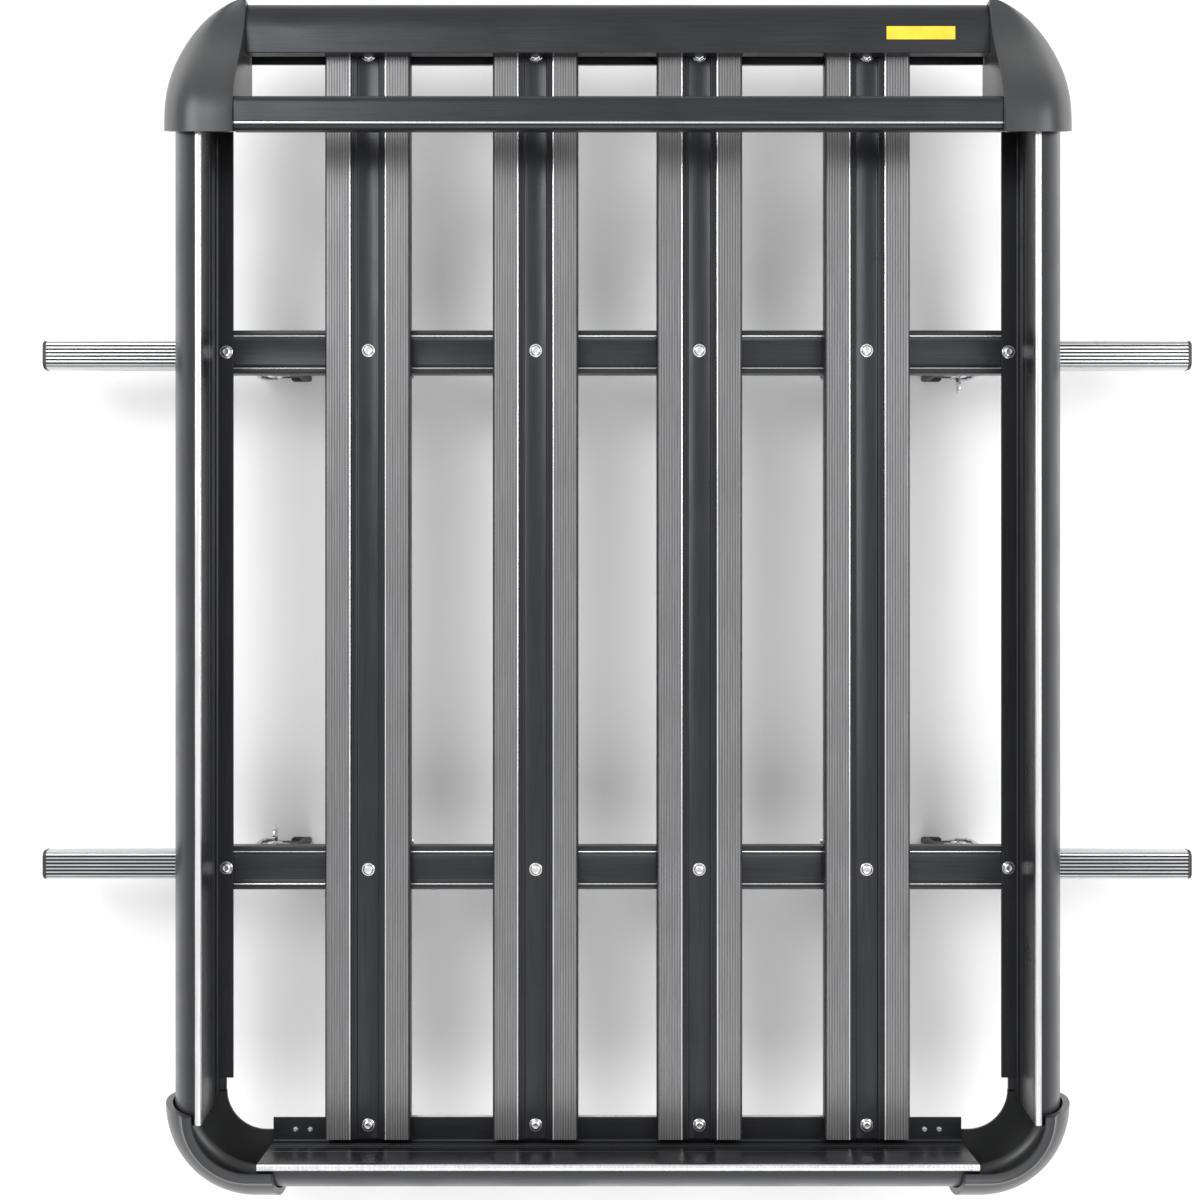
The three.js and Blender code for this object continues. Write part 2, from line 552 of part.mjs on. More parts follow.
function buildCrossbars() {
  for (const [end, y, face] of [['front', CHANNEL_Y[0], -1], ['rear', CHANNEL_Y[1], 1]]) {
    add(`${end}_crossbar`, crossbar(y), silver());
    for (const [word, side] of [['left', -1], ['right', 1]]) {
      const place = `${end}_${word}`;
      add(`${place}_bar_cap`, crossbarCap(side, y), plastic());
      add(`${place}_u_bolt`, uBolt(side * U_BOLT_X, y), steel());
      add(`${place}_clamp_plate`, clampPlate(side * U_BOLT_X, y), steel());
      add(`${place}_foot`, foot(side, face), plastic(), side * FOOT_X, y);
      add(`${place}_foot_pad`, footPad(), rubber(), side * FOOT_X, y);
      add(`${place}_clamp_jaw`, clampJaw(side), steel(), side * FOOT_X, y);
      add(`${place}_clamp_bolt`, clampBolt(side), steel(), side * FOOT_X, y);
      add(`${place}_lock_barrel`, lockBarrel(face), silver(), side * FOOT_X, y);
    }
  }
  add('front_right_key', key(-1), silver(), FOOT_X, CHANNEL_Y[0]);
  add('rear_left_key', key(1), silver(), -FOOT_X, CHANNEL_Y[1]);
}

buildDeck();
buildSurround();
buildCrossbars();

export default basket;
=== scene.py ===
import math
import bpy
import bmesh
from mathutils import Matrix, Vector
from mathutils.geometry import tessellate_polygon


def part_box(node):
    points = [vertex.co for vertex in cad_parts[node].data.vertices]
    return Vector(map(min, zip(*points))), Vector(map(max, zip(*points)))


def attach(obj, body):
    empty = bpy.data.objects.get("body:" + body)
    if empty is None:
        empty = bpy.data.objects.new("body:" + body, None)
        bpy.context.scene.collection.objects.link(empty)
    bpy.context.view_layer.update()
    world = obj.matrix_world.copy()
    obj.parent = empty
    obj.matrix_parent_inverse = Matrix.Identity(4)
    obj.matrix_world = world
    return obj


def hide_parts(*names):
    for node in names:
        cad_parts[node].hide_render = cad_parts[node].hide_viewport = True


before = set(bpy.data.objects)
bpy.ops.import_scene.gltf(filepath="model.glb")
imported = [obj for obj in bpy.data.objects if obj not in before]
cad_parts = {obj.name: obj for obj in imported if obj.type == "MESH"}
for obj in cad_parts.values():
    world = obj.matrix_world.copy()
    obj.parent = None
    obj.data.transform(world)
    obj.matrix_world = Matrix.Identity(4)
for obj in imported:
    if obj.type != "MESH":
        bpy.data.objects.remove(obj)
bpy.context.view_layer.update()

MM = 0.001
SHARP_ANGLE = math.radians(32)

# Shape constants in millimetres, shared by several pieces
RAIL_SKIN = [(10, -19.3), (3, -12), (0, 2), (1, 18), (5, 34), (13, 52), (23, 65), (34, 74)]
RIB_COUNT = 8
LEDGE_REAR_Y = -521
ROOT = "basket"


def corners(node):
    """Lowest and highest corner of a CAD node, in millimetres."""
    low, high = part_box(node)
    return [v / MM for v in low], [v / MM for v in high]


SLATS = [f"floor_slat_{i}" for i in range(1, 5)]
DECK_Z = corners(SLATS[0])[1][2]
SLAT_X = [(corners(n)[0][0] + corners(n)[1][0]) / 2 for n in SLATS]


# ---------------------------------------------------------------- materials

class Nodes:
    """A material and short calls for the nodes that it needs."""

    def __init__(self, name, colour, metallic, roughness, **sockets):
        self.material = bpy.data.materials.new(name)
        self.material.use_nodes = True
        self.tree = self.material.node_tree
        self.shader = self.tree.nodes["Principled BSDF"]
        self.shader.inputs["Base Color"].default_value = (*colour, 1)
        self.shader.inputs["Metallic"].default_value = metallic
        self.shader.inputs["Roughness"].default_value = roughness
        for key, value in sockets.items():
            self.shader.inputs[key.replace("_", " ")].default_value = value
        self.colour = colour
        self.coords = self.tree.nodes.new("ShaderNodeTexCoord")

    def noise(self, scale, stretch=(1, 1, 1), detail=4.0):
        mapping = self.tree.nodes.new("ShaderNodeMapping")
        mapping.inputs["Scale"].default_value = stretch
        noise = self.tree.nodes.new("ShaderNodeTexNoise")
        noise.inputs["Scale"].default_value = scale
        noise.inputs["Detail"].default_value = detail
        self.tree.links.new(self.coords.outputs["Object"], mapping.inputs["Vector"])
        self.tree.links.new(mapping.outputs["Vector"], noise.inputs["Vector"])
        return noise.outputs["Fac"]

    def remap(self, value, low, high):
        node = self.tree.nodes.new("ShaderNodeMapRange")
        node.inputs["From Min"].default_value = 0.3
        node.inputs["From Max"].default_value = 0.7
        node.inputs["To Min"].default_value = low
        node.inputs["To Max"].default_value = high
        self.tree.links.new(value, node.inputs["Value"])
        return node.outputs["Result"]

    def vary_roughness(self, value, low, high):
        self.tree.links.new(self.remap(value, low, high), self.shader.inputs["Roughness"])

    def vary_colour(self, value, dark, light):
        ramp = self.tree.nodes.new("ShaderNodeValToRGB")
        ramp.color_ramp.elements[0].position = 0.3
        ramp.color_ramp.elements[1].position = 0.7
        ramp.color_ramp.elements[0].color = (*(c * dark for c in self.colour), 1)
        ramp.color_ramp.elements[1].color = (*(c * light for c in self.colour), 1)
        self.tree.links.new(value, ramp.inputs["Fac"])
        self.tree.links.new(ramp.outputs["Color"], self.shader.inputs["Base Color"])

    def bump(self, value, distance, strength=0.4):
        node = self.tree.nodes.new("ShaderNodeBump")
        node.inputs["Strength"].default_value = strength
        node.inputs["Distance"].default_value = distance
        self.tree.links.new(value, node.inputs["Height"])
        self.tree.links.new(node.outputs["Normal"], self.shader.inputs["Normal"])


def extruded_metal(name, colour, roughness, along, spread=0.06):
    """Anodised extrusion: fine drawing lines along its length and a slight cloudiness."""
    nodes = Nodes(name, colour, 0.75, roughness)
    stretch = {"X": (0.02, 1, 1), "Y": (1, 0.02, 1), "NONE": (1, 1, 1)}[along]
    lines = nodes.noise(900, stretch, 3)
    nodes.vary_roughness(nodes.noise(14, (1, 1, 1), 3), roughness - spread, roughness + spread)
    nodes.vary_colour(lines, 0.86, 1.14)
    nodes.bump(lines, 0.00006, 0.35)
    return nodes.material


def cast_metal(name, colour, roughness):
    """Powder-coated casting: a fine, even orange peel."""
    nodes = Nodes(name, colour, 0.35, roughness, Coat_Weight=0.25, Coat_Roughness=0.3)
    grain = nodes.noise(1500, (1, 1, 1), 2)
    nodes.vary_colour(nodes.noise(20), 0.92, 1.08)
    nodes.vary_roughness(grain, roughness - 0.05, roughness + 0.07)
    nodes.bump(grain, 0.00008, 0.3)
    return nodes.material


def bright_metal(name, colour, roughness, scale=400):
    nodes = Nodes(name, colour, 1.0, roughness)
    marks = nodes.noise(scale, (1, 1, 1), 5)
    nodes.vary_roughness(marks, roughness * 0.7, roughness * 1.5)
    nodes.vary_colour(nodes.noise(60), 0.9, 1.05)
    nodes.bump(marks, 0.00003, 0.3)
    return nodes.material


def moulded(name, colour, roughness, grain_scale=1800, grain=0.0001):
    nodes = Nodes(name, colour, 0.0, roughness)
    texture = nodes.noise(grain_scale, (1, 1, 1), 2)
    nodes.vary_colour(nodes.noise(35), 0.85, 1.15)
    nodes.vary_roughness(texture, roughness - 0.06, roughness + 0.08)
    nodes.bump(texture, grain, 0.5)
    return nodes.material


MATERIALS = {
    "black_y": extruded_metal("black_anodised_y", (0.036, 0.037, 0.040), 0.32, "Y"),
    "black_x": extruded_metal("black_anodised_x", (0.036, 0.037, 0.040), 0.32, "X"),
    # Slat pads: the same black metal, given a lighter base colour as a painted sheen for the light the ribs
    # scatter.
    "pad": extruded_metal("ribbed_pad_painted_sheen", (0.23, 0.23, 0.235), 0.42, "Y", 0.05),
    # Thin light lines on rounded edges and lips of the black metal: painted highlight.
    "edge": extruded_metal("painted_highlight_edge", (0.78, 0.78, 0.79), 0.24, "Y", 0.03),
    # Crossbar grooves: painted shade, darker than the lands.
    "slot": extruded_metal("groove_painted_shade", (0.045, 0.045, 0.048), 0.5, "X"),
    "cut": bright_metal("raw_cut_end", (0.62, 0.62, 0.63), 0.3),
    "shell": cast_metal("coated_casting", (0.036, 0.037, 0.039), 0.36),
    # Crossbar: a light base colour as a painted reflection on the ribs; the bar itself is dark anodised.
    "bar": extruded_metal("ribbed_bar_painted_reflection", (0.56, 0.57, 0.58), 0.24, "X", 0.05),
    "steel": bright_metal("polished_bolt_steel", (0.82, 0.82, 0.83), 0.16),
    "zinc": bright_metal("zinc_plate", (0.58, 0.58, 0.60), 0.34),
    "plastic": moulded("textured_plastic", (0.026, 0.026, 0.028), 0.52),
    "rubber": moulded("black_rubber", (0.018, 0.018, 0.018), 0.8, 700, 0.0002),
    "yellow": moulded("yellow_film", (0.83, 0.56, 0.03), 0.36, 300, 0.00003),
}


# ---------------------------------------------------------------- mesh code

class Piece:
    """Collects faces, then becomes one object that rides on a body."""

    def __init__(self, *materials):
        self.vertices = []
        self.faces = []
        self.slots = []
        self.materials = materials

    def add(self, vertices, faces, slot=0):
        start = len(self.vertices)
        self.vertices += [tuple(c * MM for c in v) for v in vertices]
        for number, face in enumerate(faces):
            self.faces.append([start + i for i in face])
            self.slots.append(slot if isinstance(slot, int) else slot[number])
        return self

    def finish(self, name, nodes, body=ROOT, bevel=0.0):
        mesh = bpy.data.meshes.new(name)
        mesh.from_pydata(self.vertices, [], self.faces)
        for key in self.materials:
            mesh.materials.append(MATERIALS[key])
        for polygon, index in zip(mesh.polygons, self.slots):
            polygon.material_index = index
        soften(mesh)
        piece = bpy.data.objects.new(name, mesh)
        bpy.context.scene.collection.objects.link(piece)
        if bevel:
            modifier = piece.modifiers.new("edges", "BEVEL")
            modifier.width = bevel * MM
            modifier.segments = 2
            modifier.limit_method = "ANGLE"
            modifier.angle_limit = math.radians(40)
        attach(piece, body)
        if nodes:
            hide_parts(*nodes)
        return piece


def soften(mesh):
    """Outward faces, smooth where the surface turns gently and sharp at its edges."""
    work = bmesh.new()
    work.from_mesh(mesh)
    bmesh.ops.remove_doubles(work, verts=work.verts, dist=1e-7)
    bmesh.ops.recalc_face_normals(work, faces=work.faces)
    for face in work.faces:
        face.smooth = True
    for edge in work.edges:
        if len(edge.link_faces) == 2:
            edge.smooth = edge.calc_face_angle(0) < SHARP_ANGLE
    work.to_mesh(mesh)
    work.free()


def smooth_line(points, steps=5):
    """A Catmull-Rom line through the points."""
    line = []
    for i in range(len(points) - 1):
        p0, p1 = points[max(0, i - 1)], points[i]
        p2, p3 = points[i + 1], points[min(len(points) - 1, i + 2)]
        for step in range(steps):
            t = step / steps
            line.append(tuple(
                0.5 * (2 * b + (c - a) * t + (2 * a - 5 * b + 4 * c - d) * t * t + (3 * b - a - 3 * c
                    + d) * t ** 3)
                for a, b, c, d in zip(p0, p1, p2, p3)))
    return line + [points[-1]]


def arc(cx, cy, rx, ry, start, end, steps):
    angles = [math.radians(start + (end - start) * i / steps) for i in range(steps + 1)]
    return [(cx + rx * math.cos(a), cy + ry * math.sin(a)) for a in angles]


def extrusion(section, low, high, axis, hollow=None, slot_of=None, cut_slot=None):
    """Extrude a section along X or Y. slot_of gives a side's material from its two points."""
    def place(point, along):
        a, b = point
        return (along, a, b) if axis == "X" else (a, along, b)

    vertices, faces, slots = [], [], []
    loops = [section] + ([hollow] if hollow else [])
    for loop in loops:
        start = len(vertices)
        count = len(loop)
        vertices += [place(p, low) for p in loop] + [place(p, high) for p in loop]
        for i in range(count):
            j = (i + 1) % count
            faces.append((start + i, start + j, start + count + j, start + count + i))
            slots.append(slot_of(loop[i], loop[j]) if slot_of and loop is section else 0)
    flat = [[Vector((p[0], p[1], 0)) for p in loop] for loop in loops]
    index = []
    for number, loop in enumerate(loops):
        start = sum(2 * len(l) for l in loops[:number])
        index += [(start + i, start + len(loop) + i) for i in range(len(loop))]
    for a, b, c in tessellate_polygon(flat):
        faces.append((index[a][0], index[b][0], index[c][0]))
        faces.append((index[a][1], index[b][1], index[c][1]))
        slots += [cut_slot or 0] * 2
    return vertices, faces, slots


def loft(rings):
    """A closed skin through rings of the same number of points."""
    count = len(rings[0])
    vertices = [p for ring in rings for p in ring]
    faces = []
    for i in range(len(rings) - 1):
        for j in range(count):
            k = (j + 1) % count
            faces.append((i * count + j, i * count + k, (i + 1) * count + k, (i + 1) * count + j))
    for ring_number in (0, len(rings) - 1):
        ring = [Vector(p) for p in rings[ring_number]]
        base = ring_number * count
        faces += [tuple(base + n for n in triangle) for triangle in tessellate_polygon([ring])]
    return vertices, faces


def turned(profile, centre, axis="Z", sides=32, radius_of=None):
    """Turn (radius, height) points about an axis. Both ends close on the axis."""
    vertices, faces = [], []

    def place(a, b, h):
        x, y, z = centre
        return {"Z": (x + a, y + b, z + h), "X": (x + h, y + a, z + b), "Y": (x + a, y + h, z + b)}[axis]

    for row, (radius, height) in enumerate(profile):
        for i in range(sides):
            angle = 2 * math.pi * i / sides
            r = radius_of(row, angle, radius) if radius_of else radius
            vertices.append(place(r * math.cos(angle), r * math.sin(angle), height))
    for row in range(len(profile) - 1):
        for i in range(sides):
            j = (i + 1) % sides
            faces.append((row * sides + i, row * sides + j, (row + 1) * sides + j, (row + 1) * sides + i))
    faces.append(tuple(range(sides)))
    last = (len(profile) - 1) * sides
    faces.append(tuple(last + i for i in range(sides)))
    return vertices, faces


def mirrored(points, centre=0.0):
    return [(2 * centre - a, b) for a, b in reversed(points)]


# ---------------------------------------------------------------- deck

def ribbed(low, high, z, depth=0.9):
    """A pad's top from low to high with fine rounded grooves along it."""
    pitch = (high - low) / RIB_COUNT
    points = [(low, z)]
    for i in range(RIB_COUNT):
        x = low + pitch * i
        points += [(x + pitch * 0.30, z), (x + pitch * 0.42, z - depth), (x + pitch * 0.62, z - depth),
                   (x + pitch * 0.74, z)]
    return points + [(high, z)]


def slat_half():
    """Right half of the slat's section, from the middle outwards, over the deck's top at z = 0."""
    middle = [(0, -6), (10.6, -6), (11.3, -5.6), (11.8, -2.6), (12.4, -2.2), (14.0, -2.2), (14.3, -3.0),
        (15.2, -3.0)]
    middle += [(15.5, -2.2), (17.4, -2.2), (17.9, -1.6), (18.6, -0.3), (19.2, 0)]
    pad = ribbed(19.6, 42.4, 0)
    side = [(43.2, -0.1), (43.6, -1.0), (44.0, -1.0), (44.4, -0.6), (45.2, -1.2), (45.8, -2.4), (46, -4)]
    return middle + pad + side + [(46, -15), (45.2, -16), (0, -16)]


def build_slats():
    half = slat_half()
    section = mirrored(half)[1:-1] + half
    hollow = [(-44, -14), (44, -14), (44, -8), (-44, -8)]
    for node, x in zip(SLATS, SLAT_X):
        low, high = corners(node)

        def slot_of(a, b, x=x):
            inside = min(abs(a[0] - x), abs(b[0] - x))
            top = min(a[1], b[1]) > DECK_Z - 1.2
            # Pad tops take the painted sheen material.
            if top and 19.5 <= inside <= 42.5:
                return 1
            # Thin strips beside the pads take the painted highlight lines.
            return 2 if top and (17.8 < inside < 19.5 or 43.9 < inside < 44.5) else 0

        place = lambda line: [(a + x, b + DECK_Z) for a, b in line]
        piece = Piece("black_y", "pad", "edge")
        piece.add(*extrusion(place(section), low[1], high[1], "Y", place(hollow), slot_of))
        piece.finish(f"{node}_extrusion", [node])


def build_channels():
    for node in ("front_channel", "rear_channel"):
        low, high = corners(node)
        y = (low[1] + high[1]) / 2
        top, bottom = high[2], low[2]
        half = [(0, top - 3.3), (12.6, top - 3.3), (13.6, top - 3.0), (17.0, top - 0.4), (17.8, top)]
        half += [(22.6, top), (23.3, top - 0.4), (23.5, top - 1.2), (23.5, bottom + 1), (22.5, bottom),
            (0, bottom)]
        section = mirrored(half)[1:-1] + half
        hollow = [(-21.5, bottom + 2), (21.5, bottom + 2), (21.5, top - 5.3), (-21.5, top - 5.3)]
        place = lambda line: [(a + y, b) for a, b in line]
        ledge = corners("right_side_rail")[0][0] - 0.3

        # The lip's thin rounded edge takes the painted highlight line.
        def slot_of(a, b, y=y, top=top):
            return 1 if 16.9 < min(abs(a[0] - y), abs(b[0] - y)) < 17.7 and min(a[1], b[1]) > top - 0.6 else 0

        piece = Piece("black_x", "edge")
        piece.add(*extrusion(place(section), -ledge, ledge, "X", place(hollow), slot_of))
        floor = [(-23.5, bottom), (23.5, bottom), (23.5, top - 3.3), (-23.5, top - 3.3)]
        for start, end in ((-high[0], -ledge), (ledge, high[0])):
            piece.add(*extrusion(place(floor), start, end, "X", place(hollow)))
        piece.finish(f"{node}_extrusion", [node])


def add_bolt(piece, x, y, seat, strip_top):
    """Button head on a washer, hexagon socket, shank and nut."""
    washer = [(0.01, 0), (7, 0), (7, 0.9), (6.7, 1.1), (0.01, 1.1)]
    piece.add(*turned(washer, (x, y, seat)))
    dome = [(0.01, 1.1), (5.5, 1.1), (5.6, 1.5), (5.3, 2.6), (4.5, 3.5), (3.5, 4.0), (2.9, 4.1), (2.5,
        4.0), (2.4, 1.9),
            (0.01, 1.7)]

    def socket(row, angle, radius):
        if row < 7 or radius < 1:
            return radius
        turn = (angle % (math.pi / 3)) - math.pi / 6
        return radius * 0.94 / math.cos(turn)

    piece.add(*turned(dome, (x, y, seat), sides=36, radius_of=socket))
    piece.add(*turned([(0.01, 0), (3, 0), (3, 4), (0.01, 4)], (x, y, strip_top - 9), sides=18))
    nut = [(0.01, 0), (5.0, 0), (5.6, 0.5), (5.6, 3.5), (5.0, 4), (0.01, 4)]
    piece.add(*turned(nut, (x, y, strip_top - 5.2), sides=6), slot=1)


def build_bolts():
    ledge_x = 423
    for node in ("front_bolt_row", "front_channel_bolt_row", "rear_channel_bolt_row", "rear_bolt_row"):
        low, high = corners(node)
        y = (low[1] + high[1]) / 2
        strip_top = low[2] + 3
        piece = Piece("steel", "zinc")
        for x in SLAT_X:
            add_bolt(piece, x, y, DECK_Z - 5.95, strip_top)
        if "channel" in node:
            for x in (-ledge_x, ledge_x):
                add_bolt(piece, x, y, DECK_Z - 16.25, strip_top)
        strip = arc(y + 5, low[2] + 1.5, 1, 1.5, -90, 90, 4) + arc(y - 5, low[2] + 1.5, 1, 1.5, 90, 270, 4)
        piece.add(*extrusion(strip, low[0], high[0], "X")[:2], slot=1)
        piece.finish(node.replace("bolt_row", "bolts"), [node])


# ---------------------------------------------------------------- rails

def groove(x_at, z, width=1.6, depth=0.8):
    """A small groove in a near-vertical wall, walking downwards."""
    half = width / 2
    return [(x_at(z + half), z + half), (x_at(z) + depth, z + half * 0.4), (x_at(z) + depth, z - half * 0.4),
            (x_at(z - half), z - half)]


def rail_section(outer, ledge_inner):
    """Tall rail: convex outer skin, double lip on top, grooved inner wall and a ledge."""
    skin = [(outer - i, z) for i, z in smooth_line(RAIL_SKIN, 5)]
    top = [(outer - 34.8, 73.9), (outer - 35.2, 72.9), (outer - 36.2, 72.9), (outer - 36.6, 73.9),
        (outer - 38.6, 74.0),
           (outer - 40.2, 73.2), (outer - 41.0, 71.6)]

    def wall(z):
        return outer - 41 + 5 * (71.6 - z) / (71.6 + 16.3)

    inner = [(wall(66), 66)]
    for z in (63, 24, 6, 0, -6):
        inner += groove(wall, z)
    foot = [(wall(-13), -13), (wall(-16.3) - 0.8, -15.2), (wall(-16.3) - 2.2, -16.3)]
    ledge = [(ledge_inner + 0.7, -16.3), (ledge_inner, -17.0), (ledge_inner, -18.6), (ledge_inner + 0.7,
        -19.3)]
    return skin + top + inner + foot + ledge


def rail_hollow(outer):
    skin = [(outer - i - 3, z + (3 if i == 10 else 0)) for i, z in RAIL_SKIN[:7]]
    return smooth_line(skin, 3) + [(outer - 37, 66), (outer - 32.5, -15)]


def lip_highlight_faces(outer):
    """Faces of the top lip that carry the two thin painted highlight lines."""
    def slot_of(a, b):
        nearest, farthest = sorted((abs(a[0]), abs(b[0])))
        return 1 if min(a[1], b[1]) > DECK_Z + 71 and outer - 41.2 < nearest and farthest < outer - 34.5 else 0
    return slot_of


def build_rails():
    lift = lambda line: [(a, b + DECK_Z) for a, b in line]
    for side, word in ((-1, "left"), (1, "right")):
        node = f"{word}_side_rail"
        low, high = corners(node)
        outer, inner = max(abs(low[0]), abs(high[0])), min(abs(low[0]), abs(high[0]))
        piece = Piece("black_y", "edge", "cut")
        stretches = ((LEDGE_REAR_Y, high[1], inner), (low[1], LEDGE_REAR_Y - 0.05, outer - 39.5))
        for start, end, ledge in stretches:
            section, hollow = rail_section(outer, ledge), rail_hollow(outer)
            if side < 0:
                section, hollow = mirrored(section), mirrored(hollow)
            piece.add(*extrusion(lift(section), start, end, "Y", lift(hollow), lip_highlight_faces(outer), 2))
        piece.finish(f"{node}_extrusion", [node])
    low, high = corners("rear_rail")
    section = [(-a, b) for a, b in rail_section(-low[1], -high[1])]
    hollow = [(-a, b) for a, b in rail_hollow(-low[1])]
    piece = Piece("black_x", "edge", "cut")
    piece.add(*extrusion(lift(section), low[0], high[0], "X", lift(hollow), lip_highlight_faces(-low[1]), 2))
    piece.finish("rear_rail_extrusion", ["rear_rail"])


def fairing_top(y):
    return DECK_Z - 5 + 19 * math.sqrt(max(0, 1 - (max(0, y - 600) / 35) ** 2))


def build_rail_screws():
    """Small pan-head screws that fix the rear rail's ends to the corner elbows."""
    low, high = corners("rear_rail")
    head = [(0.01, 0), (3.2, 0), (3.2, 0.8), (2.6, 1.5), (1.2, 1.8), (1.1, 1.1), (0.01, 1.0)]
    piece = Piece("zinc")
    for side in (-1, 1):
        for inset, y in ((24, high[1] - 13), (40, high[1] - 13)):
            piece.add(*turned(head, (side * (high[0] - inset), y, DECK_Z - 16.3), sides=20))
    piece.finish("rear_rail_screws", [])


def build_front():
    low, high = corners("front_fairing")
    z = DECK_Z
    section = [(low[1], low[2])] + arc(621, z - 5, 14, 14.3, -90, 0, 8) + arc(600, z - 5, 35, 19, 4, 90, 26)
    section += [(low[1] + 3.8, z + 14), (low[1] + 3, z + 13.2), (low[1] + 3, z + 0.6), (low[1] + 6, z + 0.6)]
    section += [(low[1] + 6, z + 11)] + arc(600, z - 5, 31, 16, 90, 0, 16) + [(626, low[2] + 3), (low[1],
        low[2] + 3)]
    piece = Piece("black_x")
    piece.add(*extrusion(section, low[0], high[0], "X"))
    piece.finish("front_fairing_extrusion", ["front_fairing"])

    low, high = corners("upper_front_bar")
    z = low[2]
    front = arc(511, z + 5, 5, 5, -90, 0, 6) + arc(507, z + 8, 9, 9, 0, 90, 10)
    rear = [(488.4, z + 17), (487.6, z + 16.3), (486.6, z + 16.3), (485.8, z + 16.7)]
    rear += arc(486, z + 10, 6, 6.6, 100, 180, 8) + arc(484, z + 4, 4, 4, 180, 270, 6)
    # The rear top edge takes the painted highlight line.
    line = lambda a, b: 1 if 485.5 < min(a[0], b[0]) < 487 and min(a[1], b[1]) > z + 16 else 0
    piece = Piece("black_x", "edge")
    piece.add(*extrusion(front + rear, low[0], high[0], "X", slot_of=line))
    piece.finish("upper_front_bar_extrusion", ["upper_front_bar"])

    low, high = corners("label")
    ys = [low[1] + (high[1] - low[1]) * i / 8 for i in range(9)]
    sheet = [(y, fairing_top(y) + 0.15) for y in ys] + [(y, fairing_top(y) + 0.4) for y in reversed(ys)]
    piece = Piece("yellow")
    piece.add(*extrusion(sheet, low[0], high[0], "X"))
    piece.finish("label_film", ["label"])


# ---------------------------------------------------------------- corners

HALF_LENGTH = 635
HALF_WIDTH = 480
SHELL_INNER_X = 396
SHELL_REAR_Y = 505
SHELL_RAKE = 29
SHELL_HEIGHT = 80
SHELL_NOSE_DROP = 66
SHELL_WALL = 5
ELBOW_RADIUS = 100
ELBOW_COLLAR = 24
ELBOW_WALL = 7
ELBOW_FLOOR_EDGE = 43.6
ELBOW_FLOOR_Z = (-23, -19.6)
ELBOW_STEPS = 28


def shell_ring(along, inset, side):
    """Cross-section of a front shell, from its raked rear edge (0) to its nose (1)."""
    swell = math.sqrt(max(0, 1 - along ** 2.4))
    outer_x = SHELL_INNER_X + 8 + (HALF_WIDTH - SHELL_INNER_X - 8) * swell - inset
    inner_x = SHELL_INNER_X + inset * 0.6
    fall = 0.5 - 0.5 * math.cos(math.pi * max(0, (along - 0.12) / 0.88))
    top = DECK_Z + SHELL_HEIGHT - SHELL_NOSE_DROP * fall - inset * 0.8
    bottom = DECK_Z - 23 + inset * 0.6
    curve = smooth_line([(0.86, 0), (0.96, 0.1), (1, 0.27), (0.985, 0.46), (0.93, 0.66), (0.8, 0.83),
        (0.66, 0.945),
                         (0.5, 0.995), (0.3, 1.0)], 4)
    section = [(0.012, 0)] + curve + [(0.07, 1), (0.025, 0.992), (0.003, 0.972), (0, 0.94), (0, 0.02)]
    slope = SHELL_RAKE * (1 - along)
    return [(side * (inner_x + u * (outer_x - inner_x)),
             SHELL_REAR_Y + (HALF_LENGTH - SHELL_REAR_Y - inset) * along - slope * v,
             bottom + v * (top - bottom)) for u, v in section]


def build_shells():
    steps = 26
    for side, word in ((-1, "left"), (1, "right")):
        stations = [math.sin(math.pi / 2 * i / steps) for i in range(steps + 1)]
        outer = [shell_ring(a, 0, side) for a in reversed(stations)]
        rim = [shell_ring(0, inset, side) for inset in (0.5, 4.5)]
        inner = [shell_ring(a, SHELL_WALL, side) for a in stations[:-4]]
        piece = Piece("shell")
        piece.add(*loft(outer + rim + inner))
        node = f"front_{word}_corner_shell"
        piece.finish(f"{node}_casting", [node])


def elbow_section():
    """Section of a rear elbow as (radius, height): outer skin, top lip, inner wall and floor flange."""
    radius = ELBOW_RADIUS
    skin = [(radius - i, z) for i, z in smooth_line(RAIL_SKIN[1:], 5)]
    outer = [(43.6, -23), (radius - 12, -23), (radius - 8.5, -21.8), (radius - 5.4, -17.5)] + skin[:-3]
    outer += [(radius - 32, 78.0), (radius - 35, 79.6), (radius - 38, 80), (radius - 41.2, 79.4),
        (radius - 42, 78)]
    inner = [(radius - 41, 75.5)] + [(r - ELBOW_WALL, z - 1) for r, z in reversed(skin[:-1])]
    flange = [(radius - 13, -16.5), (radius - 18, -19.2), (radius - 20, -19.6), (43.6, -19.6), (43,
        -20.3), (43, -22.3)]
    return outer + inner + flange


def build_elbows():
    section = elbow_section()
    centre_x, centre_y = HALF_WIDTH - ELBOW_RADIUS, -(HALF_LENGTH - ELBOW_RADIUS)
    steps = ELBOW_STEPS
    for side, word in ((-1, "left"), (1, "right")):
        rings = []
        for i in range(steps + 2):
            angle = math.pi / 2 * min(i, steps) / steps
            shift = -ELBOW_COLLAR if i > steps else 0
            cos, sin = math.cos(angle), math.sin(angle)
            rings.append([(side * (centre_x + r * cos + shift), centre_y - r * sin, DECK_Z + z) for r,
                z in section])
        piece = Piece("shell")
        piece.add(*loft(rings))
        floor_low, floor_high = (DECK_Z + z for z in ELBOW_FLOOR_Z)
        near, far = centre_x + ELBOW_FLOOR_EDGE, HALF_WIDTH - 14
        tongue = [(near, floor_low), (far, floor_low), (far, floor_high), (near, floor_high)]
        if side < 0:
            tongue = mirrored(tongue)
        piece.add(*extrusion(tongue, centre_y - 1.5, LEDGE_REAR_Y - 0.4, "Y"))
        node = f"rear_{word}_corner_elbow"
        piece.finish(f"{node}_casting", [node])


# ---------------------------------------------------------------- crossbars and feet

